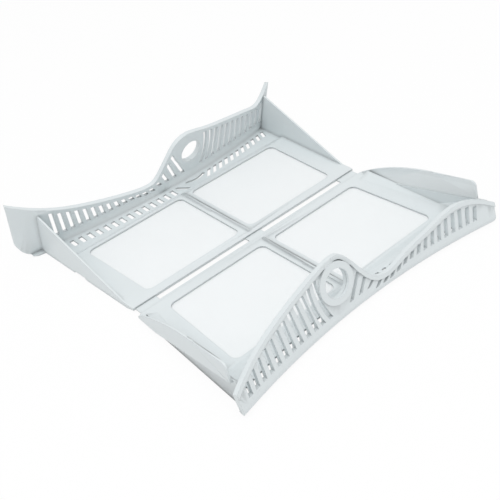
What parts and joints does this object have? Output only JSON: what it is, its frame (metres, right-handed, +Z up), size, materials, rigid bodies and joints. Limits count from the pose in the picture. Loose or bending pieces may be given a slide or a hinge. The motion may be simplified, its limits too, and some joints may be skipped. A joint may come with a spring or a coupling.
{
  "type": "tumble dryer lint filter",
  "caption": "Hinged tumble dryer lint filter lying open like a book: mesh windows in each leaf, tapering side walls, and slotted curved grille walls with a finger ring that interlock when closed.",
  "frame": {"origin": "on the resting plane, under the middle of the whole filter; the middle of the hinge is 8.2 mm towards +X of it, because the rear grille has a longer tab on the left", "axes": "+X along the hinge, +Y towards the rear leaf (the one with the taller grille), +Z up"},
  "size_m": [0.311, 0.3024, 0.0691],
  "materials": {
    "frame_plastic": "satin pale cool grey",
    "mesh": "fine white woven mesh"
  },
  "bodies": {
    "hinge": {"hinge_strip": "frame_plastic"},
    "front": {"front_leaf": "frame_plastic", "front_mesh_left": "mesh", "front_mesh_right": "mesh"},
    "rear": {"rear_leaf": "frame_plastic", "rear_mesh_left": "mesh", "rear_mesh_right": "mesh"}
  },
  "joints": [
    {"name": "front_fold", "type": "hinge", "parent": "hinge", "child": "front", "pos_m": [0, -0.0049, 0.0036], "axis": [-1, 0, 0], "range_deg": [0, 76.8]},
    {"name": "rear_fold", "type": "hinge", "parent": "hinge", "child": "rear", "pos_m": [0, 0.0049, 0.0036], "axis": [1, 0, 0], "range_deg": [0, 76.8]}
  ]
}
